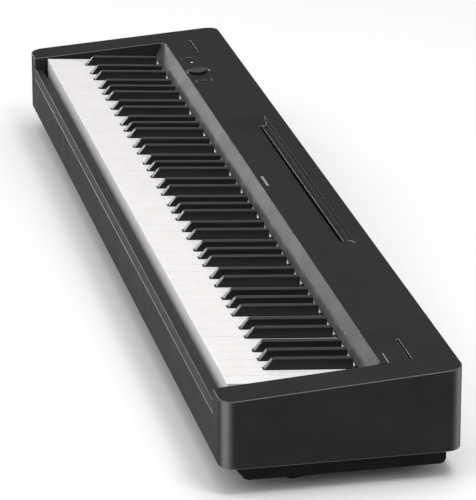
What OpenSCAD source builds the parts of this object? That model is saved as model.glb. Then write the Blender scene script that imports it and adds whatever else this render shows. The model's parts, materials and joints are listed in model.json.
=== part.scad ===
// Slim 88-key digital piano: a one-piece upper case with end blocks, a sloping
// fallboard, a key slip, a dark lower tray on rubber feet, and a compact
// weighted hammer action inside. Millimetres, +X to the treble, +Y to the rear.

/* [Body] */
// Overall width
body_w = 1326; // [1320:1:1340]
// Overall depth
body_d = 268; // [266:1:276]
// Height at the rear edge, feet included
body_h = 129; // [129:0.5:132]
// Height of the case's top surface at its front edge
front_h = 111; // [110:0.5:112]
// Height of the upper case's bottom rim above the surface it stands on
rim_z = 33.5; // [32:0.5:35]
// Height of the lower tray's underside
tray_z = 15.2; // [14:0.2:16]
// Wall thickness of the mouldings
wall = 3; // [2.6:0.1:3]
// Radius of the four upright corners
corner_r = 18; // [15:1:20]

/* [Keyboard] */
// Pitch of the white keys
pitch = 23.5; // [23.3:0.05:23.6]
// Gap between two white keys
key_gap = 0.9; // [0.8:0.1:1.2]
// Height of the white keys' front edges
key_z = 112; // [112:0.1:112.2]
// Height of the black keys above the white ones
sharp_rise = 12.4; // [10:0.1:12.8]
// Width of a black key at its base
sharp_w = 9.6; // [9:0.1:9.8]
// Diameter of the key and hammer pivot rods
rod_d = 4; // [3:0.5:4]

/* [Controls] */
// Radius of the volume knob
knob_r = 12; // [8:0.5:14]
// Height of the knob above the panel
knob_up = 3.4; // [2:0.2:3.4]
// Radius of the standby button
standby_r = 3.6; // [3:0.1:4]
// Radius of the function button
function_r = 3.2; // [2.5:0.1:4]

/* [Hidden] */
$fn = 48;
octaves = [for (o = [1:7]) o];

half_w = body_w / 2;
half_d = body_d / 2;
slope = (body_h - front_h) / body_d;
tilt = atan(slope);
function top_z(y) = front_h + slope * (y + half_d);
function key_top(y) = key_z - tan(key_tilt) * (y - key_front_y);

// Keyboard bay and the opening above the keys
bay_half = 618;          // half width between the end blocks' inner walls
opening_y = 51.3;        // rear edge of the opening
opening_r = 9;           // radius of its two rear corners
front_wall_z = 82;       // top of the case's front wall, under the key slip

// Keys, measured from the keyboard's left end in key units
whites_n = 52;
keys_left = -whites_n * pitch / 2;
key_front_y = -116.6;
sharp_front_y = -66.8;
sharp_back_y = 32.5;
key_tilt = 4;            // the keys at rest slope down to the rear
foot_y = 37;             // lower edge of the fallboard
key_under_z = 92;
skirt_z = 77;            // lower edge of a white key's front
key_skin = 2.3;
side_t = 1.7;
tail_z = 100.9;          // top of the keys' rear parts, under the fallboard
contact_y = [-40, -28];
pivot_y = 78;
pivot_z = 100;
rod_r = rod_d / 2;
fit_gap = 0.05;          // radial running clearance on the rods
hinge_r = 6;             // boss round the key's pivot
hinge_half = 4.5;

// Hammers
hammer_y = -10;
hammer_z = 60;
hammer_half = 1.6;       // half the thickness of a hammer's steel plate
hammer_hub = 3;          // half the length of its hub
frame_t = 1.2;           // sheet thickness of the action's frame
white_post_y = -72;      // where a white key's post pushes its hammer
black_post_y = -56;
post_z = 70.2;           // lower end of the posts
pad_z = 69.6;            // top of the hammer's pad

// Tray and frame
tray_half = 651;
tray_front = -118;
tray_back = 117.5;
floor_z = tray_z + wall;
frame_top = floor_z + frame_t;
frame_half = 612;

// Music rest trough in the top panel
trough_half = 251;
trough_front = 62;
trough_lip = 80;         // foot of the front slope
trough_back = 113.7;
trough_depth = 6;
cove_depth = 7.5;        // depth of the curved rear wall's foot
trough_run = 26;         // length of the ramp at each end
slot_front = 100.7;
slot_back = 105.9;
slot_floor_z = 100;

// Centres of the controls and of the panel's sound slits
panel_y = 69;
knob_x = -468;
standby_x = -533;
lamp_x = -511.5;
function_x = -425;
slit_x = 584.5;
slit_y = 85.5;
slit_l = 58;
slit_w = 2.2;

// Rear sockets
jack_z = 66.2;
pedal_x = -360;
phones_x = -440;
usb_x = -400;
dc_x = -340;
window = [-460, -322, 60.6, 75.5];   // left, right, bottom and top of the opening
plate_y = half_d - wall;
phone_r = 3.2;
dc_r = 2.75;

// Fasteners
screw_at = [for (s = [-1, 1]) each [[s * 636, -85], [s * 636, 30], [s * 290, 104]]];
insert_at = [for (s = [-1, 1], t = [-1, 1]) [s * 635, t * 60]];
foot_at = [for (s = [-1, 1]) each [[s * 612, -45], [s * 590, 85]]];
foot_r = 12.5;
speaker_x = 480;
speaker_y = 81;

big = 2000;

// ---------------------------------------------------------------- helpers

// A solid with an outline in the Y-Z plane, from x0 to x1
module prism(x0, x1, outline) {
    translate([x0, 0, 0]) rotate([90, 0, 90]) linear_extrude(x1 - x0) polygon(outline);
}

module block(x0, x1, y0, y1, z0, z1) {
    translate([x0, y0, z0]) cube([x1 - x0, y1 - y0, z1 - z0]);
}

module post(x, y, r, z0, z1) {
    translate([x, y, z0]) cylinder(r = r, h = z1 - z0);
}

// A cylinder along X through the point y, z
module axle(x0, x1, y, z, r) {
    translate([x0, y, z]) rotate([0, 90, 0]) cylinder(r = r, h = x1 - x0);
}

module rounded_plate(hx, hy, r, z0, z1) {
    translate([0, 0, z0]) linear_extrude(z1 - z0) union() {
        square([2 * hx - 2 * r, 2 * hy], center = true);
        square([2 * hx, 2 * hy - 2 * r], center = true);
        for (sx = [-1, 1], sy = [-1, 1]) translate([sx * (hx - r), sy * (hy - r)]) circle(r);
    }
}

module racetrack(half_l, r, z0, z1) {
    translate([0, 0, z0]) linear_extrude(z1 - z0) union() {
        square([2 * (half_l - r), 2 * r], center = true);
        for (s = [-1, 1]) translate([s * (half_l - r), 0]) circle(r);
    }
}

// Everything below the top surface, less a depth
module under_top(depth) {
    prism(-big, big, [
        [-half_d - 9, -9], [half_d + 9, -9],
        [half_d + 9, top_z(half_d + 9) - depth], [-half_d - 9, top_z(-half_d - 9) - depth]]);
}

// Places a piece on the top panel, square to it
module on_panel(x, y) {
    translate([x, y, top_z(y)]) rotate([tilt, 0, 0]) children();
}

// ---------------------------------------------------------------- casings

// Solid left in each rear corner of the opening, down to the fallboard
module opening_corner(side, grow = 0) {
    translate([side * (bay_half - opening_r), opening_y - opening_r, 0]) difference() {
        translate([side > 0 ? 0 : -opening_r - 1, 0, 101.6])
            cube([opening_r + 1, opening_r + 1, 24]);
        translate([0, 0, 100]) cylinder(r = opening_r - grow, h = 30);
    }
}

module opening_cut() {
    difference() {
        block(-bay_half, bay_half, -big, opening_y, front_wall_z, big);
        for (s = [-1, 1]) translate([s * (bay_half - opening_r), opening_y - opening_r, 0])
            difference() {
                translate([s > 0 ? 0 : -opening_r, 0, 0]) cube([opening_r, opening_r, big]);
                translate([0, 0, -1]) cylinder(r = opening_r, h = big + 2);
            }
    }
}

// Music rest trough: front slope, shelf, slot, and a wall that curves up to the panel
module trough_cut() {
    curve = [for (a = [0:10:90]) let (y = slot_back + (trough_back - slot_back) * sin(a))
        [y, top_z(y) - cove_depth * cos(a)]];
    intersection() {
        prism(-big, big, concat([
            [trough_front, body_h + 5], [trough_front, top_z(trough_front)],
            [trough_lip, top_z(trough_lip) - trough_depth],
            [slot_front, top_z(slot_front) - trough_depth], [slot_front, slot_floor_z],
            [slot_back, slot_floor_z]],
            curve, [[trough_back, body_h + 5]]));
        on_panel(0, panel_y) rotate([90, 0, 0]) translate([0, 0, -90]) linear_extrude(160) polygon([
            [-trough_half - 5 * trough_run / trough_depth, 5], [-trough_half + trough_run, -trough_depth],
            [-trough_half + trough_run, -60], [trough_half - trough_run, -60],
            [trough_half - trough_run, -trough_depth], [trough_half + 5 * trough_run / trough_depth, 5]]);
    }
}

module upper_case() color([0.16, 0.16, 0.16]) {
    difference() {
        union() {
            difference() {
                rounded_plate(half_w, half_d, corner_r, rim_z, body_h + 1);
                difference() {
                    block(-big, big, -big, big, 0, big);
                    under_top(0);
                }
                intersection() {
                    rounded_plate(half_w - wall, half_d - wall, corner_r - wall, rim_z - 1, body_h);
                    under_top(wall);
                }
            }
            // inner walls of the end blocks
            intersection() {
                for (s = [-1, 1]) {
                    block(s > 0 ? bay_half : -bay_half - wall, s > 0 ? bay_half + wall : -bay_half,
                        -half_d + 1, opening_y, 60, body_h);
                    opening_corner(s);
                }
                under_top(1);
            }
            // box under the music rest trough
            intersection() {
                prism(-trough_half - wall, trough_half + wall, [
                    [trough_front - 2, body_h], [trough_front - 2, top_z(trough_front) - wall - 0.6],
                    [trough_lip, top_z(trough_lip) - trough_depth - wall],
                    [slot_front - wall, top_z(slot_front) - trough_depth - wall],
                    [slot_front - wall, slot_floor_z - wall], [slot_back + wall, slot_floor_z - wall],
                    [slot_back + wall, top_z(slot_back) - cove_depth - wall],
                    [trough_back + wall, top_z(trough_back) - cove_depth], [trough_back + wall, body_h]]);
                under_top(1);
            }
            for (p = screw_at) intersection() {
                post(p[0], p[1], 6, 30.2, body_h);
                under_top(1);
            }
        }
        opening_cut();
        trough_cut();
        for (s = [-1, 1]) translate([s * slit_x, slit_y, body_h - 15])
            cube([slit_l, slit_w, 40], center = true);
        on_panel(knob_x, panel_y) translate([0, 0, -8]) cylinder(r = 4.2, h = 16);
        on_panel(knob_x, panel_y) translate([0, 0, -1.2]) cylinder(r = knob_r + 4, h = 9);
        on_panel(standby_x, panel_y) translate([0, 0, -8]) cylinder(r = standby_r + 0.3, h = 16);
        on_panel(function_x, panel_y) translate([0, 0, -8]) cylinder(r = function_r + 0.3, h = 16);
        on_panel(lamp_x, panel_y) translate([0, 0, -8]) cylinder(r = 1.6, h = 16);
        block(window[0], window[1], half_d - 9, half_d + 9, window[2], window[3]);
        for (p = screw_at) post(p[0], p[1], 2.05, 30, 44);
    }
}

module fallboard() color([0.42, 0.42, 0.42]) {
    face_low = [foot_y, key_top(foot_y) + 1.6];
    face_high = [50.95, top_z(50.95) - 0.1];
    under = 2.9;
    rise = (face_high[1] - face_low[1]) / (face_high[0] - face_low[0]);
    flange_z = 117.6;
    difference() {
        prism(-bay_half + 0.3, bay_half - 0.3, [
            face_low, face_high, [face_high[0], 120.1], [62, 120.1], [62, flange_z],
            [face_low[0] + (flange_z - face_low[1] + under) / rise, flange_z],
            [face_low[0] + under / rise, face_low[1]]]);
        for (s = [-1, 1]) opening_corner(s, 0.25);
    }
}

module key_slip() color([0.2, 0.2, 0.2]) {
    prism(-bay_half + 0.4, bay_half - 0.4, [
        [-half_d, front_wall_z + 0.5], [-half_d + 0.8, 96.2], [-123, 94.8], [-123, 62],
        [-125.5, 62], [-125.5, 92.4], [-128.3, 92.7], [-128.3, 66], [-130.9, 66],
        [-130.9, front_wall_z + 0.5]]);
}

module lower_case() color([0.09, 0.09, 0.09]) {
    turn = [for (a = [0:15:90]) [tray_back - 7 + 7 * sin(a), tray_z + 7 - 7 * cos(a)]];
    slot_n = 11;
    slot_pitch = 9;
    difference() {
        union() {
            difference() {
                union() {
                    prism(-tray_half, tray_half, concat([
                        [tray_front, 39], [tray_front, 32], [-106.5, tray_z + 2], [-101.5, tray_z]],
                        turn, [[tray_back, 39]]));
                    rounded_plate(half_w - wall - 0.6, half_d - wall - 0.6, corner_r - wall - 0.6, 36, 39);
                }
                prism(-tray_half + wall, tray_half - wall, [
                    [tray_front + wall, 40], [tray_front + wall, 33], [-104.5, floor_z + 1.4],
                    [-100.5, floor_z], [109, floor_z], [tray_back - wall, 23.5],
                    [tray_back - wall, 40]]);
            }
            for (p = screw_at) post(p[0], p[1], 6, floor_z - 1, 30);
            for (p = insert_at) post(p[0], p[1], 7, floor_z - 1, 30);
            for (x = [-414, -326, -246, -64]) post(x, 101, 3, floor_z - 1, 58);
        }
        for (p = screw_at) {
            post(p[0], p[1], 2.1, tray_z - 1, 31);
            post(p[0], p[1], 4.2, tray_z - 1, tray_z + 2.5);
        }
        for (p = insert_at) post(p[0], p[1], 4.55, tray_z - 1, 27.6);
        for (s = [-1, 1], i = [0:slot_n - 1])
            translate([s * speaker_x + (i - (slot_n - 1) / 2) * slot_pitch, speaker_y, tray_z])
                cube([3, 42, 12], center = true);
    }
}

module rubber_feet() color([0.05, 0.05, 0.05]) {
    for (p = foot_at) difference() {
        union() {
            post(p[0], p[1], foot_r, 3, tray_z);
            translate([p[0], p[1], 0]) cylinder(r1 = foot_r - 1.5, r2 = foot_r, h = 3);
        }
        post(p[0], p[1], 4, -1, 4);
    }
}

module case_screws() color([0.6, 0.6, 0.62]) {
    for (p = screw_at) difference() {
        union() {
            post(p[0], p[1], 4, tray_z + 0.3, tray_z + 2.5);
            post(p[0], p[1], 2, tray_z + 2, 42);
        }
        block(p[0] - 0.5, p[0] + 0.5, p[1] - 2.5, p[1] + 2.5, tray_z, tray_z + 1.4);
        block(p[0] - 2.5, p[0] + 2.5, p[1] - 0.5, p[1] + 0.5, tray_z, tray_z + 1.4);
    }
}

module stand_inserts() color([0.78, 0.62, 0.3]) {
    for (p = insert_at) difference() {
        post(p[0], p[1], 4.5, tray_z, tray_z + 12);
        post(p[0], p[1], 3, tray_z - 1, tray_z + 13);
    }
}

// ---------------------------------------------------------------- key layout

// Rear centres of the keys in one octave, from its C, as shares of the group they sit in
cde = 3 * pitch / 5;
fgab = 4 * pitch / 7;
black_in_octave = [1.5 * cde, 3.5 * cde, 3 * pitch + 1.5 * fgab, 3 * pitch + 3.5 * fgab,
    3 * pitch + 5.5 * fgab];
octave_w = 7 * pitch;
function octave_x(o) = keys_left + 2 * pitch + (o - 1) * octave_w;
blacks = [for (o = [0:7], b = black_in_octave)
    let (x = octave_x(o) + b) if (x > keys_left && x < -keys_left - pitch) x];

function near(list, lo, hi) = [for (x = list) if (x > lo && x < hi) x];
function white_x(i) = keys_left + i * pitch;
// Left and right edge of a white key's tail, between its black neighbours
side_gap = sharp_w / 2 + 0.8;
reach = 8;
function tail_left(i) = let (b = near(blacks, white_x(i) - reach, white_x(i) + reach))
    len(b) > 0 ? b[0] + side_gap : white_x(i) + key_gap / 2;
function tail_right(i) = let (b = near(blacks, white_x(i + 1) - reach, white_x(i + 1) + reach))
    len(b) > 0 ? b[0] - side_gap : white_x(i + 1) - key_gap / 2;
function tail_mid(i) = (tail_left(i) + tail_right(i)) / 2;

// White keys of an octave group: the first group also has the two keys below C1,
// and the last one C8
function whites_of(o) = [for (i = [(o == 1 ? 0 : 2 + (o - 1) * 7):(o == 7 ? 51 : 1 + o * 7)]) i];
function blacks_of(o) = near(blacks, o == 1 ? -big : octave_x(o), octave_x(o + 1));
centres = concat([for (i = [0:whites_n - 1]) tail_mid(i)], blacks);

// ---------------------------------------------------------------- keys

// Pivot boss at the rear of a key, with its bore
module key_hinge(x) {
    difference() {
        union() {
            axle(x - hinge_half, x + hinge_half, pivot_y, pivot_z, hinge_r);
            block(x - hinge_half, x + hinge_half, 60, pivot_y, 94.5, 105.5);
        }
        axle(x - hinge_half - 1, x + hinge_half + 1, pivot_y, pivot_z, rod_r + fit_gap);
    }
}

// Underside hollow of a key's long part, with two ribs that press the contacts;
// its roof lies a depth below the slope of the white keys' tops
module key_hollow(x0, x1, y0, y1, depth) {
    difference() {
        union() {
            prism(x0, x1, [[y0, key_under_z - 1], [y0, key_top(y0) - depth], [y1, key_top(y1) - depth],
                [y1, key_under_z - 1]]);
            block(x0, x1, y0, 58, key_under_z - 1, tail_z - key_skin);
        }
        for (y = contact_y) block(x0 - 1, x1 + 1, y - 1.2, y + 1.2, key_under_z, key_z);
    }
}

module white_key(i) {
    x0 = white_x(i) + key_gap / 2;
    x1 = white_x(i + 1) - key_gap / 2;
    t0 = tail_left(i);
    t1 = tail_right(i);
    mid = tail_mid(i);
    head_y = sharp_front_y - 1.5;
    difference() {
        union() {
            prism(x0, x1, [[key_front_y, skirt_z], [key_front_y, key_z], [head_y, key_top(head_y)],
                [head_y, key_under_z], [key_front_y + key_skin, key_under_z],
                [key_front_y + key_skin, skirt_z]]);
            prism(t0, t1, [[head_y - 1, key_under_z], [head_y - 1, key_top(head_y - 1)],
                [foot_y + 1, key_top(foot_y + 1)], [foot_y + 1.5, tail_z], [62, tail_z],
                [62, key_under_z]]);
        }
        prism(x0 + side_t, x1 - side_t, [
            [key_front_y + key_skin, key_under_z - 1], [key_front_y + key_skin, key_z - key_skin],
            [head_y - 2, key_top(head_y - 2) - key_skin], [head_y - 2, key_under_z - 1]]);
        key_hollow(t0 + side_t, t1 - side_t, head_y - 4, 32, key_skin);
    }
    block(mid - 2, mid + 2, white_post_y - 2, white_post_y + 2, post_z, key_top(white_post_y) - 1);
    key_hinge(mid);
}

module black_key(x) {
    half = sharp_w / 2;
    difference() {
        prism(x - half, x + half, [
            [sharp_front_y, key_under_z], [sharp_front_y, key_top(sharp_front_y)],
            [sharp_front_y + 9.2, key_top(sharp_front_y + 9.2) + sharp_rise - 1.1],
            [sharp_front_y + 11, key_top(sharp_front_y + 11) + sharp_rise],
            [sharp_back_y, key_top(sharp_back_y) + sharp_rise], [sharp_back_y, tail_z], [62, tail_z],
            [62, key_under_z]]);
        key_hollow(x - half + side_t, x + half - side_t, black_post_y + 3, 28, key_skin - sharp_rise);
    }
    block(x - 1.8, x + 1.8, black_post_y - 2, black_post_y + 2, post_z, key_under_z + 1);
    key_hinge(x);
}

module white_keys(o) color([0.95, 0.95, 0.93]) {
    for (i = whites_of(o)) union() white_key(i);
}

module black_keys(o) color([0.11, 0.11, 0.11]) {
    for (x = blacks_of(o)) union() black_key(x);
}

// ---------------------------------------------------------------- hammers

module hammer(x, front_y, mass_top) {
    difference() {
        union() {
            prism(x - hammer_half, x + hammer_half, [
                [front_y - 6, 63.5], [front_y - 6, pad_z], [front_y + 6, pad_z], [front_y + 9, 66],
                [hammer_y + 4, 66], [34, 63], [34, 55], [hammer_y, 54]]);
            axle(x - hammer_hub, x + hammer_hub, hammer_y, hammer_z, hinge_r);
            prism(x - 2.6, x + 2.6, [[30, 50.4], [30, mass_top], [66, mass_top], [66, 50.4]]);
        }
        axle(x - 6, x + 6, hammer_y, hammer_z, rod_r + fit_gap);
    }
}

module white_hammers(o) color([0.35, 0.35, 0.37]) {
    for (i = whites_of(o)) hammer(tail_mid(i), white_post_y, 65);
}

module black_hammers(o) color([0.3, 0.3, 0.32]) {
    for (x = blacks_of(o)) hammer(x, black_post_y, 63.4);
}

// ---------------------------------------------------------------- action frame

module keyboard_frame() color([0.55, 0.56, 0.58]) {
    prism(-frame_half, frame_half, [[-98, floor_z], [50, floor_z], [50, 47], [38, 47],
        [38, 47 - frame_t], [50 - frame_t, 47 - frame_t], [50 - frame_t, frame_top],
        [-98, frame_top]]);
}

module key_guide_rail() color([0.2, 0.2, 0.22]) {
    prism(-frame_half, frame_half, [[-96, frame_top], [-92, frame_top], [-92, 79.8],
        [-101, 79.8], [-101, 76.8], [-96, 76.8]]);
    for (i = [0:whites_n - 1]) let (x = white_x(i) + pitch / 2)
        block(x - 2, x + 2, -92, -88, 66, 97);
}

module key_stop_felt() color([0.6, 0.12, 0.12]) {
    block(-frame_half, frame_half, -101, -92, 79.8, 82.3);
}

module key_pivot_rail() color([0.24, 0.24, 0.26]) {
    difference() {
        union() {
            prism(-frame_half - 4, frame_half + 4, [[32, 77.6], [86, 77.6], [86, 56], [90, 56],
                [90, 107], [72, 107], [72, 80.6], [32, 80.6]]);
            for (x = [-600, -300, 0, 300, 600]) block(x - 10, x + 10, 85, 90, floor_z, 57);
        }
        axle(-big, big, pivot_y, pivot_z, rod_r);
        for (x = centres)
            block(x - hinge_half - 1, x + hinge_half + 1, 60, 85.5, 91, 110);
    }
}

module pivot_rods() color([0.75, 0.75, 0.78]) {
    axle(-frame_half - 4, frame_half + 4, pivot_y, pivot_z, rod_r);
    axle(-frame_half - 2, frame_half + 2, hammer_y, hammer_z, rod_r);
}

module hammer_rail() color([0.26, 0.26, 0.28]) {
    difference() {
        block(-frame_half - 2, frame_half + 2, -18, -2, frame_top, 82);
        axle(-big, big, hammer_y, hammer_z, rod_r);
        for (x = centres) block(x - hammer_hub - 0.8, x + hammer_hub + 0.8, -30, 10, 31, 90);
    }
}

module hammer_felts() color([0.6, 0.12, 0.12]) {
    block(-frame_half, frame_half, 38, 50, 47, 50);
    block(-frame_half, frame_half, 32, 50, 74.6, 77.6);
}

module contact_board() color([0.1, 0.3, 0.16]) {
    for (i = [-1:1]) block(i * 408 - 203, i * 408 + 203, -46, -8, 82, 83.6);
}

module contact_rubber() color([0.25, 0.25, 0.25]) {
    for (x = centres, y = contact_y) post(x, y, 3, 83.6, 85.2);
}

// ---------------------------------------------------------------- controls

board_drop = -13.5;      // top of the panel board below the panel's surface

module panel_board() color([0.1, 0.3, 0.16]) {
    on_panel(0, panel_y) {
        block(-550, -404, -11, 13, board_drop - 1.6, board_drop);
        for (x = [standby_x, function_x]) block(x - 3, x + 3, -3, 3, board_drop, board_drop + 4);
    }
}

module volume_pot() color([0.5, 0.5, 0.52]) {
    on_panel(knob_x, panel_y) difference() {
        union() {
            translate([0, 0, board_drop]) cylinder(r = 8, h = 6);
            translate([0, 0, board_drop + 6]) cylinder(r = 4, h = 3.5);
        }
        translate([0, 0, board_drop + 2]) cylinder(r = 3.05, h = 20);
    }
}

module volume_knob() color([0.1, 0.1, 0.1]) {
    on_panel(knob_x, panel_y) difference() {
        union() {
            translate([0, 0, -0.9]) cylinder(r = knob_r, h = knob_up + 0.9);
            translate([0, 0, board_drop + 2.2]) cylinder(r = 3, h = 12);
        }
        translate([-0.6, knob_r / 2, knob_up - 0.8]) cube([1.2, knob_r, 2]);
    }
}

module button(x, r) {
    on_panel(x, panel_y) union() {
        translate([0, 0, -5]) cylinder(r = r, h = 5.8);
        translate([0, 0, -5]) cylinder(r = r + 1.2, h = 1.4);
        translate([0, 0, board_drop + 5.8]) cylinder(r = 1.5, h = 3);
    }
}

module standby_button() color([0.12, 0.12, 0.12]) button(standby_x, standby_r);

module function_button() color([0.12, 0.12, 0.12]) button(function_x, function_r);

module standby_lamp() color([0.9, 0.9, 0.9]) {
    on_panel(lamp_x, panel_y) union() {
        translate([0, 0, -7]) cylinder(r = 1.5, h = 7.2);
        translate([0, 0, board_drop]) cylinder(r = 2.2, h = 6.6);
    }
}

// ---------------------------------------------------------------- electronics

board_z = 58;

module main_board() color([0.1, 0.3, 0.16]) {
    block(-250, -60, 97, 127, board_z, board_z + 1.6);
    for (b = [[-220, 108, 20, 14, 2.4], [-180, 106, 28, 16, 3], [-130, 104, 16, 16, 9], [-92, 108, 12, 12, 14]])
        block(b[0], b[0] + b[2], b[1], b[1] + b[3], board_z + 1.6, board_z + 1.6 + b[4]);
}

module jack_board() color([0.1, 0.3, 0.16]) {
    block(-480, -322, 96, 128, board_z, board_z + 1.6);
}

module jack_plate() color([0.13, 0.13, 0.13]) {
    difference() {
        block(window[0] - 5, window[1] + 5, plate_y - 2.5, plate_y, board_z + 1.8, window[3] + 5);
        for (x = [pedal_x, phones_x]) translate([x, plate_y, jack_z]) rotate([90, 0, 0])
            cylinder(r = 5.2, h = 20, center = true);
        translate([dc_x, plate_y, jack_z]) rotate([90, 0, 0]) cylinder(r = 4.4, h = 20, center = true);
        block(usb_x - 6.2, usb_x + 6.2, 100, 140, jack_z - 5.6, jack_z + 5.6);
    }
}

// A round socket: a body on the board, and a nose through the plate
module socket(x, nose_r, bore_r, depth) {
    back = plate_y - 2.6;
    difference() {
        union() {
            block(x - 7, x + 7, back - depth, back, board_z + 1.6, jack_z + 6.6);
            translate([x, back - 1, jack_z]) rotate([-90, 0, 0]) cylinder(r = nose_r, h = 4.2);
        }
        translate([x, back - depth + 2, jack_z]) rotate([-90, 0, 0]) cylinder(r = bore_r, h = 60);
    }
}

module phones_jack() color([0.08, 0.08, 0.08]) socket(phones_x, 5, phone_r, 24);

module pedal_jack() color([0.08, 0.08, 0.08]) socket(pedal_x, 5, phone_r, 24);

module dc_inlet() color([0.08, 0.08, 0.08]) socket(dc_x, 4.2, dc_r, 13);

module usb_port() color([0.7, 0.7, 0.72]) {
    difference() {
        block(usb_x - 6, usb_x + 6, 114, plate_y + 0.6, jack_z - 5.2, jack_z + 5.2);
        block(usb_x - 4.3, usb_x + 4.3, 118, 140, jack_z - 3.9, jack_z + 3.9);
    }
}

module at_speakers() {
    for (s = [-1, 1]) translate([s * speaker_x, speaker_y, 0]) children();
}

module speaker_frames() color([0.3, 0.3, 0.32]) {
    at_speakers() {
        difference() {
            union() {
                racetrack(60, 27.5, floor_z, floor_z + 2);
                racetrack(54, 25, floor_z + 2, floor_z + 15);
                post(0, 0, 22, floor_z + 15, floor_z + 29);
            }
            racetrack(51, 22.5, floor_z - 1, floor_z + 12.5);
        }
    }
}

module speaker_cones() color([0.07, 0.07, 0.07]) {
    at_speakers() difference() {
        racetrack(50.6, 22.1, floor_z + 1.5, floor_z + 12.3);
        racetrack(47, 19, floor_z + 1, floor_z + 4);
        racetrack(40, 14, floor_z + 1, floor_z + 8);
        post(0, 0, 11, floor_z + 1, floor_z + 10.5);
    }
}

module wiring_ribbons() color([0.75, 0.75, 0.75]) {
    block(-321.8, -250.2, 111, 119, board_z + 0.4, board_z + 1.2);
    prism(-470, -452, [[96.4, 59.7], [97.2, 59.7], [97.2, 112.8], [83.2, 112], [83.2, 111.2],
        [96.4, 112]]);
}

// ---------------------------------------------------------------- nodes

upper_case();
fallboard();
key_slip();
lower_case();
rubber_feet();
case_screws();
stand_inserts();
keyboard_frame();
key_guide_rail();
key_stop_felt();
key_pivot_rail();
pivot_rods();
hammer_rail();
hammer_felts();
contact_board();
contact_rubber();
panel_board();
volume_pot();
volume_knob();
standby_button();
function_button();
standby_lamp();
main_board();
jack_board();
jack_plate();
phones_jack();
pedal_jack();
dc_inlet();
usb_port();
speaker_frames();
speaker_cones();
wiring_ribbons();
for (o = octaves) {
    white_keys(o);
    black_keys(o);
    white_hammers(o);
    black_hammers(o);
}
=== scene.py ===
"""Looks of a slim 88-key digital piano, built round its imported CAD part.

The CAD nodes keep their shapes and get softened edges and procedural materials.
The keys, the knob, the printed marks and the cloth behind the sound slits are modelled here.
"""
import json
import math
import random

import bmesh
import bpy
from mathutils import Matrix, Vector


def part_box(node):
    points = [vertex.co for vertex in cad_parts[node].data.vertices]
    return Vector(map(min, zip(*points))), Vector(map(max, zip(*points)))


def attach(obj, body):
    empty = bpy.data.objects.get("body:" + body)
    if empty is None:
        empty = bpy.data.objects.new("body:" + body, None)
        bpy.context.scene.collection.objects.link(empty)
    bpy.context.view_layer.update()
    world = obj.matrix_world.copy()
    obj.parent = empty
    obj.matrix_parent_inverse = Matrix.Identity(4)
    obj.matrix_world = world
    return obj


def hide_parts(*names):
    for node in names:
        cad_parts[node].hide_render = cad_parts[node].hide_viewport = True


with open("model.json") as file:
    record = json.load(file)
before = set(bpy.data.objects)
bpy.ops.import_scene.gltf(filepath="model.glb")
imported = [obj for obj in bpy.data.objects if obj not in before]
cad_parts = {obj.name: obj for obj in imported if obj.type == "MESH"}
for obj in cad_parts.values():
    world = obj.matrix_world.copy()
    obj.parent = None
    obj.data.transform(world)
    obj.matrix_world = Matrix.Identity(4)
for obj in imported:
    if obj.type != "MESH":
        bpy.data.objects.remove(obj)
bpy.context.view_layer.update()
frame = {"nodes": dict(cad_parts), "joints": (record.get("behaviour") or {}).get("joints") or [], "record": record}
nodes = frame["nodes"]
MM = 0.001
rng = random.Random(7)

# ---------------------------------------------------------------- materials

CORNER_HIGHLIGHT_POWER = 4.0


def new_material(name):
    mat = bpy.data.materials.new(name)
    mat.use_nodes = True
    tree = mat.node_tree
    shader = tree.nodes["Principled BSDF"]
    coords = tree.nodes.new("ShaderNodeTexCoord").outputs["Object"]
    return mat, tree, shader, coords


def noise(tree, coords, scale, detail=4.0, rough=0.55):
    n = tree.nodes.new("ShaderNodeTexNoise")
    n.inputs["Scale"].default_value = scale
    n.inputs["Detail"].default_value = detail
    n.inputs["Roughness"].default_value = rough
    tree.links.new(coords, n.inputs["Vector"])
    return n.outputs["Fac"]


def remap(tree, value, low, high, start=0.3, end=0.7):
    m = tree.nodes.new("ShaderNodeMapRange")
    m.inputs["From Min"].default_value = start
    m.inputs["From Max"].default_value = end
    m.inputs["To Min"].default_value = low
    m.inputs["To Max"].default_value = high
    tree.links.new(value, m.inputs["Value"])
    return m.outputs["Result"]


def tint(tree, value, dark, light):
    ramp = tree.nodes.new("ShaderNodeValToRGB")
    ramp.color_ramp.elements[0].position = 0.32
    ramp.color_ramp.elements[1].position = 0.68
    ramp.color_ramp.elements[0].color = (*dark, 1)
    ramp.color_ramp.elements[1].color = (*light, 1)
    tree.links.new(value, ramp.inputs["Fac"])
    return ramp.outputs["Color"]


def bump(tree, shader, heights):
    """Chains bumps given as (height socket, depth in millimetres)."""
    normal = None
    for height, depth in heights:
        b = tree.nodes.new("ShaderNodeBump")
        b.inputs["Strength"].default_value = 1.0
        b.inputs["Distance"].default_value = depth * MM
        tree.links.new(height, b.inputs["Height"])
        if normal is not None:
            tree.links.new(normal, b.inputs["Normal"])
        normal = b.outputs["Normal"]
    tree.links.new(normal, shader.inputs["Normal"])


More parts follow.
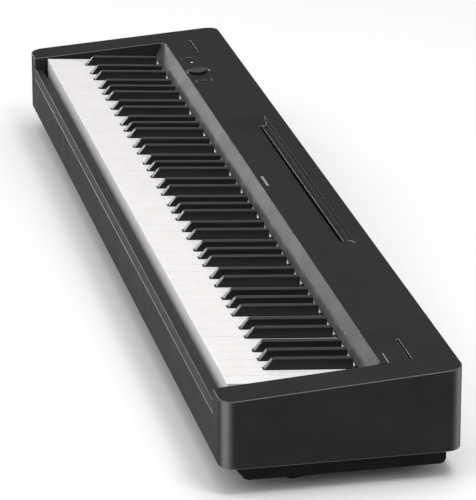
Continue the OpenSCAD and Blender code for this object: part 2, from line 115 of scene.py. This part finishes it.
def paint_corner_highlight(tree, base, colour):
    """Paints a highlight: mixes a lighter colour into a base where the surface turns round an upright corner.

    The mix is |2 nx ny| to a power: 1 where the normal points between X and Y, 0 on flat faces.
    """
    axes = tree.nodes.new("ShaderNodeSeparateXYZ")
    tree.links.new(tree.nodes.new("ShaderNodeTexCoord").outputs["Normal"], axes.inputs[0])
    value = axes.outputs["X"]
    steps = (
        ("MULTIPLY", axes.outputs["Y"]),
        ("MULTIPLY", 2.0),
        ("ABSOLUTE", None),
        ("POWER", CORNER_HIGHLIGHT_POWER),
    )
    for op, other in steps:
        step = tree.nodes.new("ShaderNodeMath")
        step.operation = op
        tree.links.new(value, step.inputs[0])
        if op == "MULTIPLY" and not isinstance(other, float):
            tree.links.new(other, step.inputs[1])
        elif other is not None:
            step.inputs[1].default_value = other
        value = step.outputs[0]
    mix = tree.nodes.new("ShaderNodeMix")
    mix.data_type = "RGBA"
    tree.links.new(value, mix.inputs["Factor"])
    tree.links.new(base, mix.inputs["A"])
    mix.inputs["B"].default_value = (*colour, 1)
    return mix.outputs["Result"]


def moulded(name, colour, roughness, specular=0.35, grain=0.5, depth=0.012, spread=0.12,
            metal=0.0, corners=None):
    """Moulded or painted surface: spark-eroded grain, cloudy gloss and a slow drift of its colour.

    grain and depth are in millimetres; corners is a lighter colour painted on its upright corners as a painted
    highlight.
    """
    mat, tree, shader, coords = new_material(name)
    fine = noise(tree, coords, 1 / (grain * MM), 3.0)
    cloud = noise(tree, coords, 22.0, 5.0)
    dark = [c * (1 - spread) for c in colour]
    light = [c * (1 + spread) for c in colour]
    base = tint(tree, cloud, dark, light)
    # Painted highlight on the upright corners
    if corners:
        base = paint_corner_highlight(tree, base, corners)
    tree.links.new(base, shader.inputs["Base Color"])
    gloss = remap(tree, cloud, roughness - 0.05, roughness + 0.05)
    tree.links.new(gloss, shader.inputs["Roughness"])
    shader.inputs["Specular IOR Level"].default_value = specular
    shader.inputs["Metallic"].default_value = metal
    bump(tree, shader, [(fine, depth)])
    return mat


def key_white():
    """Satin white acrylic: faint cloudiness, fine scratches along the key, warm translucence."""
    mat, tree, shader, coords = new_material("key_white")
    cloud = noise(tree, coords, 60.0, 4.0)
    base = tint(tree, cloud, (0.79, 0.772, 0.765), (0.83, 0.812, 0.806))
    tree.links.new(base, shader.inputs["Base Color"])
    stretch = tree.nodes.new("ShaderNodeMapping")
    stretch.inputs["Scale"].default_value = (1.0, 0.04, 1.0)
    tree.links.new(coords, stretch.inputs["Vector"])
    scratches = noise(tree, stretch.outputs["Vector"], 2600.0, 2.0)
    tree.links.new(remap(tree, scratches, 0.30, 0.40), shader.inputs["Roughness"])
    shader.inputs["Specular IOR Level"].default_value = 0.45
    shader.inputs["Subsurface Weight"].default_value = 0.08
    shader.inputs["Subsurface Radius"].default_value = (0.002, 0.0018, 0.0015)
    bump(tree, shader, [(scratches, 0.002)])
    return mat


def brushed(name, colour, roughness):
    """Drawn or turned metal with fine lines along X."""
    mat, tree, shader, coords = new_material(name)
    stretch = tree.nodes.new("ShaderNodeMapping")
    stretch.inputs["Scale"].default_value = (0.05, 1.0, 1.0)
    tree.links.new(coords, stretch.inputs["Vector"])
    lines = noise(tree, stretch.outputs["Vector"], 1800.0, 3.0)
    base = tint(tree, lines, [c * 0.8 for c in colour], colour)
    tree.links.new(base, shader.inputs["Base Color"])
    gloss = remap(tree, lines, roughness - 0.08, roughness + 0.1)
    tree.links.new(gloss, shader.inputs["Roughness"])
    shader.inputs["Metallic"].default_value = 1.0
    bump(tree, shader, [(lines, 0.004)])
    return mat


def felt(name, colour):
    """Pressed wool felt: loose fibres over soft clumps."""
    mat, tree, shader, coords = new_material(name)
    fibres = noise(tree, coords, 2400.0, 6.0, 0.7)
    clumps = noise(tree, coords, 180.0, 4.0)
    base = tint(tree, clumps, [c * 0.7 for c in colour], colour)
    tree.links.new(base, shader.inputs["Base Color"])
    shader.inputs["Roughness"].default_value = 0.95
    shader.inputs["Sheen Weight"].default_value = 0.4
    bump(tree, shader, [(clumps, 0.15), (fibres, 0.06)])
    return mat


def circuit_board():
    """Green solder mask with a faint raised pattern of tracks."""
    mat, tree, shader, coords = new_material("circuit_board")
    cells = tree.nodes.new("ShaderNodeTexBrick")
    cells.inputs["Scale"].default_value = 120.0
    cells.inputs["Mortar Size"].default_value = 0.06
    cells.inputs["Color1"].default_value = (0.02, 0.11, 0.05, 1)
    cells.inputs["Color2"].default_value = (0.025, 0.13, 0.06, 1)
    cells.inputs["Mortar"].default_value = (0.05, 0.2, 0.09, 1)
    tree.links.new(coords, cells.inputs["Vector"])
    tree.links.new(cells.outputs["Color"], shader.inputs["Base Color"])
    shader.inputs["Roughness"].default_value = 0.3
    bump(tree, shader, [(cells.outputs["Fac"], 0.03)])
    return mat


def floor_material():
    mat, tree, shader, coords = new_material("studio_floor")
    base = tint(tree, noise(tree, coords, 0.8), (0.93, 0.93, 0.93), (0.95, 0.95, 0.95))
    tree.links.new(base, shader.inputs["Base Color"])
    shader.inputs["Roughness"].default_value = 0.9
    shader.inputs["Specular IOR Level"].default_value = 0.1
    return mat


looks = {
    # The case's upright corners carry a painted highlight
    "case": moulded("case_plastic", (0.0225, 0.0225, 0.0227), 0.5, 0.03, 0.5, 0.006,
                    corners=(0.17, 0.17, 0.17)),
    "strip": moulded("strip_plastic", (0.08, 0.08, 0.081), 0.45, 0.25, 0.4, 0.008),
    "slip": moulded("slip_plastic", (0.024, 0.024, 0.0242), 0.5, 0.07, 0.5, 0.006),
    "tray": moulded("tray_plastic", (0.005, 0.005, 0.005), 0.65, 0.12, 0.8, 0.03),
    "rubber": moulded("foot_rubber", (0.012, 0.012, 0.012), 0.8, 0.2, 0.3, 0.02),
    "screw_steel": brushed("screw_steel", (0.55, 0.55, 0.57), 0.35),
    "insert_brass": brushed("insert_brass", (0.75, 0.55, 0.25), 0.3),
    "frame_steel": moulded("frame_steel", (0.35, 0.36, 0.37), 0.4, 0.5, 3.0, 0.01, 0.2, 0.8),
    "rail_plastic": moulded("rail_plastic", (0.05, 0.05, 0.055), 0.55),
    "felt": felt("red_felt", (0.38, 0.03, 0.03)),
    "rod_steel": brushed("rod_steel", (0.62, 0.62, 0.64), 0.25),
    "board": circuit_board(),
    "contact_rubber": moulded("contact_rubber", (0.05, 0.05, 0.05), 0.6, 0.3, 0.2, 0.01),
    "pot": brushed("pot_steel", (0.5, 0.5, 0.52), 0.4),
    "knob": moulded("knob_plastic", (0.012, 0.012, 0.012), 0.42, 0.45, 0.25, 0.006),
    "button": moulded("button_plastic", (0.02, 0.02, 0.02), 0.4, 0.4, 0.25, 0.005),
    "lamp": moulded("lamp_lens", (0.8, 0.8, 0.78), 0.25, 0.5, 0.3, 0.002, 0.03),
    "socket": moulded("socket_plastic", (0.012, 0.012, 0.012), 0.35, 0.4),
    "socket_shell": brushed("socket_shell", (0.6, 0.6, 0.62), 0.3),
    "speaker_frame": moulded("speaker_frame", (0.03, 0.03, 0.03), 0.5),
    "cone": moulded("speaker_cone", (0.015, 0.015, 0.015), 0.85, 0.2, 0.9, 0.08),
    "ribbon": moulded("ribbon_cable", (0.45, 0.45, 0.45), 0.5),
    "white_key": key_white(),
    "black_key": moulded("key_black", (0.0105, 0.0105, 0.0107), 0.34, 0.28, 0.3, 0.004),
    "hammer_steel": moulded("hammer_steel", (0.08, 0.08, 0.085), 0.4, 0.5, 1.2, 0.02, 0.2, 0.7),
}
# Painted highlight: the rounded edge strips get a lighter colour in place of the light their fillets catch
edge_highlight_looks = {
    "case": moulded("case_edge_highlight", (0.09, 0.09, 0.09), 0.32, 0.4, 0.5, 0.003),
    "slip": moulded("slip_edge_highlight", (0.07, 0.07, 0.07), 0.32, 0.4, 0.5, 0.003),
    "strip": moulded("strip_edge_highlight", (0.16, 0.16, 0.16), 0.35, 0.4, 0.5, 0.003),
}
print_look = moulded("printed_mark", (0.26, 0.26, 0.26), 0.5, 0.3, 0.2, 0.002, 0.08)
cloth_look = moulded("slit_cloth", (0.004, 0.004, 0.004), 0.95, 0.05, 0.5, 0.1)


WELD_MM = 0.02
FLAT_DEG = 0.4


def set_material(obj, mat):
    obj.data.materials.clear()
    obj.data.materials.append(mat)


def soften(obj, width, segments=2, angle=32.0, clamp=True, edge_highlight_look=None):
    """Rounds an object's sharp edges by width millimetres; the edge look, when given, paints a lighter highlight
    on the rounded strips.
    """
    weld = obj.modifiers.new("weld", "WELD")
    weld.merge_threshold = WELD_MM * MM
    flat = obj.modifiers.new("flat", "DECIMATE")
    flat.decimate_type = "DISSOLVE"
    flat.angle_limit = math.radians(FLAT_DEG)
    bevel = obj.modifiers.new("bevel", "BEVEL")
    bevel.width = width * MM
    bevel.segments = segments
    bevel.limit_method = "ANGLE"
    bevel.angle_limit = math.radians(angle)
    bevel.use_clamp_overlap = clamp
    bevel.harden_normals = True
    # Painted highlight: the bevel's rounded strips take the lighter edge material
    if edge_highlight_look:
        obj.data.materials.append(edge_highlight_look)
        bevel.material = len(obj.data.materials) - 1
    bevel.miter_outer = "MITER_ARC"
    for poly in obj.data.polygons:
        poly.use_smooth = True
    obj.modifiers.new("normals", "WEIGHTED_NORMAL").keep_sharp = True


EDGE_MM = {
    "upper_case": 0.8, "lower_case": 0.5, "fallboard": 0.35, "key_slip": 0.6, "rubber_feet": 0.8,
    "standby_button": 0.5, "function_button": 0.5, "standby_lamp": 0.3, "speaker_frames": 0.6,
    "speaker_cones": 0.6, "jack_plate": 0.3, "phones_jack": 0.3, "pedal_jack": 0.3,
    "dc_inlet": 0.3, "usb_port": 0.3, "main_board": 0.2,
}
slot_of = {s["node"]: s["material_slot"] for s in frame["record"]["subparts"]}
for name, obj in nodes.items():
    set_material(obj, looks[slot_of[name]])
    if name in EDGE_MM:
        soften(obj, EDGE_MM[name], clamp=name != "upper_case",
               edge_highlight_look=edge_highlight_looks.get(slot_of[name]))

# ---------------------------------------------------------------- mesh tools


def piece(name, bm, mat, body, smooth=True):
    """Turns a bmesh into a visible piece that rides a body."""
    bmesh.ops.recalc_face_normals(bm, faces=bm.faces[:])
    mesh = bpy.data.meshes.new(name)
    bm.to_mesh(mesh)
    bm.free()
    obj = bpy.data.objects.new(name, mesh)
    bpy.context.scene.collection.objects.link(obj)
    obj.data.materials.append(mat)
    for poly in mesh.polygons:
        poly.use_smooth = smooth
    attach(obj, body)
    return obj


def box_faces(bm, lo, hi):
    corners = [bm.verts.new((x, y, z))
               for x in (lo[0], hi[0]) for y in (lo[1], hi[1]) for z in (lo[2], hi[2])]
    for ids in ((0, 1, 3, 2), (4, 6, 7, 5), (0, 4, 5, 1), (2, 3, 7, 6), (0, 2, 6, 4), (1, 5, 7, 3)):
        bm.faces.new([corners[i] for i in ids])


def loft(bm, rings):
    """Joins rings of equal length into a closed form with flat ends."""
    made = [[bm.verts.new(p) for p in ring] for ring in rings]
    for a, b in zip(made, made[1:]):
        for i in range(len(a)):
            j = (i + 1) % len(a)
            bm.faces.new((a[i], a[j], b[j], b[i]))
    bm.faces.new(made[0])
    bm.faces.new(made[-1])


def collar(bm, x0, x1, centre, outer, inner, steps=32):
    """A ring with a bore along X."""
    y, z = centre
    rings = []
    for x, r in ((x0, inner), (x0, outer), (x1, outer), (x1, inner)):
        rings.append([bm.verts.new((x, y + r * math.cos(a), z + r * math.sin(a)))
                      for a in (2 * math.pi * i / steps for i in range(steps))])
    for k in range(4):
        a, b = rings[k], rings[(k + 1) % 4]
        for i in range(steps):
            j = (i + 1) % steps
            bm.faces.new((a[i], a[j], b[j], b[i]))


def solids(node):
    """The vertices of each separate solid of a CAD node, welded by position."""
    mesh = nodes[node].data
    key_of, places, parent = {}, [], []
    ids = []
    for v in mesh.vertices:
        k = tuple(round(c * 1e5) for c in v.co)
        if k not in key_of:
            key_of[k] = len(places)
            places.append(v.co.copy())
            parent.append(len(parent))
        ids.append(key_of[k])

    def root(i):
        while parent[i] != i:
            parent[i] = parent[parent[i]]
            i = parent[i]
        return i

    for e in mesh.edges:
        a, b = root(ids[e.vertices[0]]), root(ids[e.vertices[1]])
        parent[a] = b
    groups = {}
    for i, p in enumerate(places):
        groups.setdefault(root(i), []).append(p)
    return sorted(groups.values(), key=lambda g: min(p.x for p in g))


POST_HALF_Y = 2 * MM
POST_TOP_Z = 0.1
ARM_Y = (0.06, 0.0735)
ARM_Z = (0.0945, 0.1055)
BOSS_HALF_X = 4.5 * MM
BOSS_R = 6 * MM
BORE_R = 2.05 * MM


def key_back(bm, x, post_y, half_post):
    """What every key has out of sight: the hammer post and the pivot boss with its arm."""
    box_faces(bm, (x - half_post, post_y - POST_HALF_Y, POST_Z),
              (x + half_post, post_y + POST_HALF_Y, POST_TOP_Z))
    x0, x1 = x - BOSS_HALF_X, x + BOSS_HALF_X
    box_faces(bm, (x0, ARM_Y[0], ARM_Z[0]), (x1, ARM_Y[1], ARM_Z[1]))
    collar(bm, x0, x1, (PIVOT.y, PIVOT.z), BOSS_R, BORE_R)


PIVOT = Vector(next(j["pos_m"] for j in frame["joints"] if j["name"] == "white_press_1"))
POST_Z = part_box("white_keys_1")[0].z
KEY_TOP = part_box("white_keys_1")[1].z
KEY_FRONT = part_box("white_keys_1")[0].y
SHARP_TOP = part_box("black_keys_1")[1].z
SHARP_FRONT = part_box("black_keys_1")[0].y
KEY_SLOPE = math.tan(math.radians(4))


def key_top(y):
    """Height of a white key's top at rest; it falls away to the rear."""
    return KEY_TOP - KEY_SLOPE * (y - KEY_FRONT)


# A black key's top is highest above the white keys 11 mm behind its front
SHARP_RISE = SHARP_TOP - key_top(SHARP_FRONT + 11 * MM)

# ---------------------------------------------------------------- white keys

SKIRT_Z = 0.077
UNDER_Z = 0.092
HEAD_Y = SHARP_FRONT - 1.5 * MM
TAIL_Y = 0.038
TAIL_Z = 0.1007
TAIL_END_Y = 0.062
TAIL_INSET = 0.2 * MM
TAIL_OVERLAP = 1 * MM
LIP = 2.3 * MM
SHOULDER = 0.5 * MM
SINK_MM = 0.05
WHITE_POST_Y = -0.072
BLACK_POST_Y = -0.056


def key_tail(bm, x0, x1, start_y):
    """The stem that runs back under the strip, a little narrower than the key."""
    box_faces(bm, (x0 + TAIL_INSET, start_y - TAIL_OVERLAP, UNDER_Z),
              (x1 - TAIL_INSET, TAIL_END_Y, TAIL_Z))


def white_key(bm, verts):
    """One white key: a head with a front skirt, notched for its black neighbours."""
    x0 = min(v.x for v in verts)
    x1 = max(v.x for v in verts)
    tail = [v.x for v in verts if abs(v.y - TAIL_Y) < 0.3 * MM]
    t0, t1 = min(tail), max(tail)
    front = [(x0, KEY_FRONT), (x1, KEY_FRONT)]
    lip_y = KEY_FRONT + LIP
    right = [(x1, lip_y)]
    right += [(x1, HEAD_Y), (t1, HEAD_Y)] if x1 - t1 > SHOULDER else []
    left = [(t0, HEAD_Y), (x0, HEAD_Y)] if t0 - x0 > SHOULDER else []
    outline = front + right + [(t1, TAIL_Y), (t0, TAIL_Y)] + left + [(x0, lip_y)]
    sink = rng.uniform(-SINK_MM, 0.0) * MM
    top = [bm.verts.new((x, y, key_top(y) + sink)) for x, y in outline]
    low = [bm.verts.new((x, y, UNDER_Z)) for x, y in outline]
    bm.faces.new(top)
    n = len(outline)
    for i in range(n):
        j = (i + 1) % n
        bm.faces.new((low[i], low[j], top[j], top[i]))
    bm.faces.new([low[i] for i in range(2, n)])
    lip = bm.faces.new((low[0], low[1], low[2], low[n - 1]))
    skirt = bmesh.ops.extrude_face_region(bm, geom=[lip])
    moved = [g for g in skirt["geom"] if isinstance(g, bmesh.types.BMVert)]
    bmesh.ops.translate(bm, verts=moved, vec=(0, 0, SKIRT_Z - UNDER_Z))
    bm.faces.remove(lip)
    key_tail(bm, t0, t1, TAIL_Y)
    key_back(bm, (t0 + t1) / 2, WHITE_POST_Y, 2 * MM)


# ---------------------------------------------------------------- black keys

SHARP_BACK_Y = 0.0325
NOSE_LENGTH = 9.0 * MM
ROUND_LENGTH = 3.4 * MM
ROUND_DROP = 1.5 * MM
SIDE_DRAFT = 0.75 * MM
SHOULDER_R = 1.25 * MM


def sharp_ring(x, y, height, low, half_low, crown=0.25):
    """One cross-section of a black key: drafted sides, rounded shoulders, a crowned top."""
    rise = (height - key_top(y)) / SHARP_RISE
    half = half_low - SIDE_DRAFT * max(rise, 0)
    r = SHOULDER_R * min(1, max(rise, 0.25))
    points = [(half_low, low), (half_low, min(key_top(y), height) - 2 * MM)]
    for k in range(6):
        a = math.pi / 2 * k / 5
        points.append((half - r + r * math.cos(a), height - r - crown * MM + r * math.sin(a)))
    points.append((half * 0.45, height - 0.06 * MM))
    ring = [(x + dx, y, z) for dx, z in points]
    return ring + [(x - dx, y, z) for dx, z in reversed(points)]


def black_key(bm, verts):
    """One black key, lofted from its small front foot up the sloping nose and along the top."""
    x0 = min(v.x for v in verts)
    x1 = max(v.x for v in verts)
    x = (x0 + x1) / 2
    half = (x1 - x0) / 2
    front = SHARP_FRONT
    foot = key_top(front) + 0.6 * MM
    rings = []
    for dy, rise in ((0.0, -1.6), (0.25, -0.5), (0.7, 0.15)):
        rings.append((front + dy * MM, foot + rise * MM))
    slope_y, slope_z = rings[-1]
    nose_y = front + NOSE_LENGTH
    nose_z = key_top(nose_y) + SHARP_RISE - ROUND_DROP
    for k in range(1, 5):
        rings.append((slope_y + (nose_y - slope_y) * k / 4, slope_z + (nose_z - slope_z) * k / 4))
    for k in range(1, 6):
        y = nose_y + ROUND_LENGTH * k / 5
        rings.append((y, key_top(y) + SHARP_RISE - ROUND_DROP * (1 - k / 5) ** 2))
    back = SHARP_BACK_Y
    for y, drop in ((0.0, 0.0), (back - 1.4 * MM, 0.0), (back - 0.5 * MM, 0.25), (back, 1.0)):
        rings.append((y, key_top(y) + SHARP_RISE - drop * MM))
    loft(bm, [sharp_ring(x, y, z, UNDER_Z, half - 0.02 * MM) for y, z in rings])
    key_tail(bm, x - half, x + half, back)
    key_back(bm, x, BLACK_POST_Y, 1.8 * MM)


OCTAVES = sorted(int(n.rsplit("_", 1)[1]) for n in nodes if n.startswith("white_keys_"))
for o in OCTAVES:
    bm = bmesh.new()
    for verts in solids(f"white_keys_{o}"):
        white_key(bm, verts)
    whites = piece(f"white_key_tops_{o}", bm, looks["white_key"], f"white_keys_{o}")
    soften(whites, 0.65, 3, 40.0)
    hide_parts(f"white_keys_{o}")

    bm = bmesh.new()
    for verts in solids(f"black_keys_{o}"):
        black_key(bm, verts)
    blacks = piece(f"black_key_tops_{o}", bm, looks["black_key"], f"black_keys_{o}")
    blacks.data.set_sharp_from_angle(angle=math.radians(45))
    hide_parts(f"black_keys_{o}")

# ---------------------------------------------------------------- panel pieces

knob_joint = next(j for j in frame["joints"] if j["name"] == "volume_turn")
normal = Vector(knob_joint["axis"]).normalized()
upright = Vector((0, 0, 1)).rotation_difference(normal).to_matrix().to_4x4()
panel = Matrix.Translation(knob_joint["pos_m"]) @ upright


def on_panel(x, y):
    """The matrix of a spot on the sloping top, given by its place in plan."""
    knob_at = knob_joint["pos_m"]
    spot = Vector((x, y, knob_at[2] - (y - knob_at[1]) * normal.y / normal.z))
    return Matrix.Translation(spot) @ panel.to_3x3().to_4x4()


def turned(bm, profile, steps, ribs=0, depth=0.0, rib_rings=()):
    """A lathe form about Z; the rings listed in rib_rings carry grip ribs."""
    rings = []
    for n, (r, z) in enumerate(profile):
        ring = []
        for i in range(steps):
            a = 2 * math.pi * i / steps
            cut = depth * (0.5 + 0.5 * math.cos(ribs * a)) if n in rib_rings else 0
            radius = max(r - cut, 0.02 * MM)
            ring.append((radius * math.cos(a), radius * math.sin(a), z))
        rings.append(ring)
    loft(bm, rings)


knob_r = (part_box("volume_knob")[1].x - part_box("volume_knob")[0].x) / 2
knob_up = 3.3 * MM
KNOB_STEPS = 360
RIBS = 60
RIB_DEPTH = 0.35 * MM
bm = bmesh.new()
profile = [
    (knob_r - 0.4 * MM, -0.9 * MM),
    (knob_r - 0.05 * MM, -0.6 * MM),
    (knob_r - 0.1 * MM, 1.9 * MM),
    (knob_r - 0.4 * MM, 2.6 * MM),
    (knob_r - 1.1 * MM, knob_up),
    (knob_r - 1.9 * MM, knob_up - 0.05 * MM),
    (knob_r - 2.6 * MM, knob_up - 0.6 * MM),
    (1.0 * MM, knob_up - 0.7 * MM),
]
turned(bm, profile, KNOB_STEPS, RIBS, RIB_DEPTH, (1, 2))
knob = piece("volume_knob_cap", bm, looks["knob"], "knob")
knob.data.transform(panel)
knob.data.set_sharp_from_angle(angle=math.radians(50))
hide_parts("volume_knob")

bm = bmesh.new()
box_faces(bm, (-0.45 * MM, knob_r - 6.5 * MM, knob_up - 0.68 * MM),
          (0.45 * MM, knob_r - 2.9 * MM, knob_up - 0.55 * MM))
pointer = piece("knob_pointer", bm, print_look, "knob", False)
pointer.data.transform(panel)


def mark(bm, matrix, length, width, turn=0.0):
    """A printed bar, 0.04 mm proud of the surface."""
    spin = matrix @ Matrix.Rotation(turn, 4, "Z")
    half = (length / 2 * MM, width / 2 * MM)
    start = len(bm.verts)
    box_faces(bm, (-half[0], -half[1], -0.02 * MM), (half[0], half[1], 0.04 * MM))
    bm.verts.ensure_lookup_table()
    bmesh.ops.transform(bm, matrix=spin, verts=bm.verts[start:])


# Printing on the sloping top, as plain bars: x and y in metres, length and width in millimetres
PANEL_MARKS = (
    (0, 0.0595, 37, 3.2),
    (0.603, 0.0605, 27, 1.1),
    (-0.533, 0.0585, 5, 0.7),
    (-0.468, 0.055, 10, 0.9),
    (-0.425, 0.0585, 9, 0.8),
    (-0.425, 0.0795, 12, 0.7),
)
KNOB_END_TURN = 2.4
bm = bmesh.new()
for x, y, length, width in PANEL_MARKS:
    mark(bm, on_panel(x, y), length, width)
for turn in (-KNOB_END_TURN, KNOB_END_TURN):
    arm = Matrix.Rotation(turn, 3, "Z") @ Vector((0, knob_r + 5.5 * MM, 0))
    spot = Vector(knob_joint["pos_m"]) + arm
    mark(bm, on_panel(spot.x, spot.y), 0.7, 2.2, turn)
piece("panel_marks", bm, print_look, "case", False)

# Function names printed on the fallboard strip, as plain bars: x in metres, length in millimetres
STRIP_MARKS = (
    (-0.56, 9), (-0.532, 7), (-0.5, 8), (-0.47, 7),
    (0.1, 8), (0.117, 6),
    (0.26, 9), (0.277, 5), (0.305, 7), (0.32, 6),
    (0.475, 9), (0.492, 7),
)
strip_lo, strip_hi = Vector((0, 0.037, 0.10286)), Vector((0, 0.05095, 0.12332))
strip_dir = (strip_hi - strip_lo).normalized()
strip_tilt = Matrix.Rotation(math.atan2(strip_dir.z, strip_dir.y), 4, "X")
bm = bmesh.new()
for x, length in STRIP_MARKS:
    place = strip_lo + strip_dir * 10 * MM + Vector((x, 0, 0))
    mark(bm, Matrix.Translation(place) @ strip_tilt, length, 0.9)
piece("strip_marks", bm, print_look, "case", False)

# Black cloth behind the two sound slits
SLIT_X = 0.5845
SLIT_HALF_X = 0.031
bm = bmesh.new()
for x in (-SLIT_X, SLIT_X):
    box_faces(bm, (x - SLIT_HALF_X, 0.0825, 0.1205), (x + SLIT_HALF_X, 0.0885, 0.1212))
piece("slit_cloth", bm, cloth_look, "case", False)

# ---------------------------------------------------------------- studio

bm = bmesh.new()
bmesh.ops.create_grid(bm, x_segments=2, y_segments=2, size=30.0)
mesh = bpy.data.meshes.new("floor")
bm.to_mesh(mesh)
bm.free()
floor = bpy.data.objects.new("floor", mesh)
bpy.context.scene.collection.objects.link(floor)
floor.data.materials.append(floor_material())

world = bpy.data.worlds.new("studio")
bpy.context.scene.world = world
world.use_nodes = True
sky = world.node_tree
height = sky.nodes.new("ShaderNodeSeparateXYZ")
sky.links.new(sky.nodes.new("ShaderNodeTexCoord").outputs["Generated"], height.inputs["Vector"])
background = sky.nodes["Background"]
sky.links.new(remap(sky, height.outputs["Z"], 0.3, 0.8, 0.0, 0.9), background.inputs["Strength"])
background.inputs["Color"].default_value = (1, 1, 1, 1)


def area_light(name, place, aim, size, power):
    data = bpy.data.lights.new(name, "AREA")
    data.shape = "RECTANGLE"
    data.size, data.size_y = size
    data.energy = power
    lamp = bpy.data.objects.new(name, data)
    lamp.location = place
    lamp.rotation_euler = (Vector(aim) - Vector(place)).to_track_quat("-Z", "Y").to_euler()
    bpy.context.scene.collection.objects.link(lamp)


# Name, place, aim, size and power in watts
area_light("key", (0.2, -2.6, 2.6), (0, 0, 0.1), (3.0, 1.6), 12)
area_light("top", (0.3, 0.2, 3.0), (0, 0, 0.1), (2.6, 1.6), 26)
area_light("corner", (0.96, -1.3, 0.16), (0.66, -0.13, 0.08), (0.14, 0.3), 2.5)
area_light("noses", (-2.6, -1.15, 0.55), (0, 0, 0.11), (0.9, 0.5), 11)
area_light("rim", (1.7, 0.55, 2.8), (0.6, 0, 0.1), (0.7, 0.7), 22)

camera = bpy.data.objects.new("camera", bpy.data.cameras.new("camera"))
bpy.context.scene.collection.objects.link(camera)
bpy.context.scene.camera = camera
camera.location = (3.9662, -0.8184, 1.5192)
aim = Vector((0.2051, -0.0183, 0.112))
camera.rotation_euler = (aim - camera.location).to_track_quat("-Z", "Y").to_euler()
camera.data.sensor_width = 36
camera.data.lens = 248.6
camera.data.clip_end = 100

bpy.context.scene.view_settings.view_transform = "Standard"
